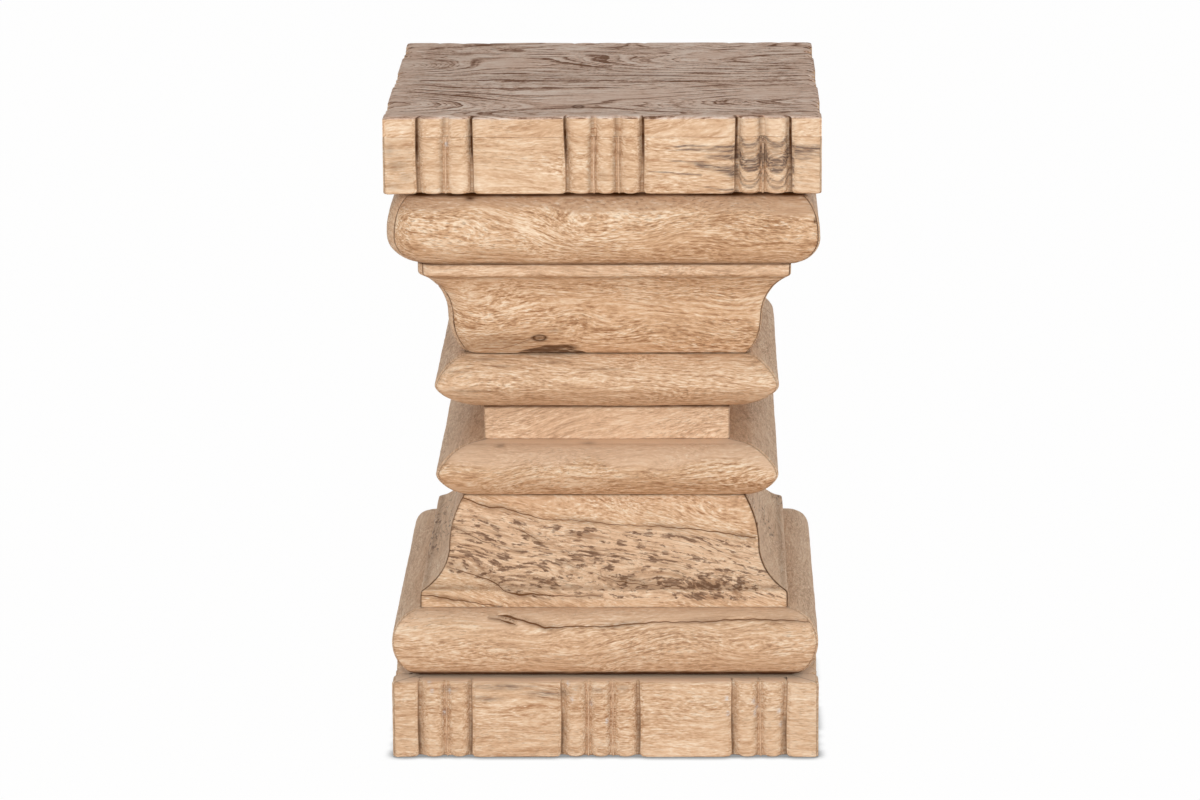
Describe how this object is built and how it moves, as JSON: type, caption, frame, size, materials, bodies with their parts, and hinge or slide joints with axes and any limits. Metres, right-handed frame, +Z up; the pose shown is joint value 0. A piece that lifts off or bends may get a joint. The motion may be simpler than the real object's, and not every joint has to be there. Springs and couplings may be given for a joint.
{
  "type": "side table",
  "caption": "Square wooden pedestal side table stacked from mitred mouldings, with a carved reeded top slab and plinth and a drawn-in plain neck half way up.",
  "frame": {"origin": "on the floor, under the middle of the table", "axes": "+Z up, -Y towards the front that the picture shows, +X to the right seen from the front"},
  "size_m": [0.33, 0.33, 0.504],
  "materials": {
    "weathered_top": "dry grey-brown weathered wood with dark cathedral grain, unvarnished",
    "carved_tan": "light tan hand-carved wood, matt, with chisel marks and dark grooves",
    "worn_moulding": "light tan moulded wood, matt, softly worn, with mottled wavy figure",
    "spotted_moulding": "tan wood with many small dark flecks, matt and worn",
    "inner_softwood": "plain sawn wood, unfinished, out of sight",
    "beech_joints": "plain hardwood, glued in, out of sight",
    "screw_steel": "plain steel wood screws, out of sight"
  },
  "bodies": {
    "root": {"top_board": "weathered_top", "plinth_rail_front": "carved_tan", "plinth_rail_right": "carved_tan", "plinth_rail_back": "carved_tan", "plinth_rail_left": "carved_tan", "lower_torus_front": "worn_moulding", "lower_torus_right": "worn_moulding", "lower_torus_back": "worn_moulding", "lower_torus_left": "worn_moulding", "lower_ogee_front": "spotted_moulding", "lower_ogee_right": "spotted_moulding", "lower_ogee_back": "spotted_moulding", "lower_ogee_left": "spotted_moulding", "lower_ring_front": "worn_moulding", "lower_ring_right": "worn_moulding", "lower_ring_back": "worn_moulding", "lower_ring_left": "worn_moulding", "neck_rail_front": "worn_moulding", "neck_rail_right": "worn_moulding", "neck_rail_back": "worn_moulding", "neck_rail_left": "worn_moulding", "upper_ring_front": "worn_moulding", "upper_ring_right": "worn_moulding", "upper_ring_back": "worn_moulding", "upper_ring_left": "worn_moulding", "upper_ogee_front": "worn_moulding", "upper_ogee_right": "worn_moulding", "upper_ogee_back": "worn_moulding", "upper_ogee_left": "worn_moulding", "upper_torus_front": "worn_moulding", "upper_torus_right": "worn_moulding", "upper_torus_back": "worn_moulding", "upper_torus_left": "worn_moulding", "frieze_rail_front": "carved_tan", "frieze_rail_right": "carved_tan", "frieze_rail_back": "carved_tan", "frieze_rail_left": "carved_tan", "core_post_front_left": "inner_softwood", "core_post_front_right": "inner_softwood", "core_post_back_right": "inner_softwood", "core_post_back_left": "inner_softwood", "top_corner_block_front_left": "inner_softwood", "top_corner_block_front_right": "inner_softwood", "top_corner_block_back_right": "inner_softwood", "top_corner_block_back_left": "inner_softwood", "base_corner_block_front_left": "inner_softwood", "base_corner_block_front_right": "inner_softwood", "base_corner_block_back_right": "inner_softwood", "base_corner_block_back_left": "inner_softwood", "base_board": "inner_softwood", "mitre_keys": "beech_joints", "layer_dowels": "beech_joints", "post_dowels": "beech_joints", "post_screws": "screw_steel", "block_screws": "screw_steel"}
  },
  "joints": []
}
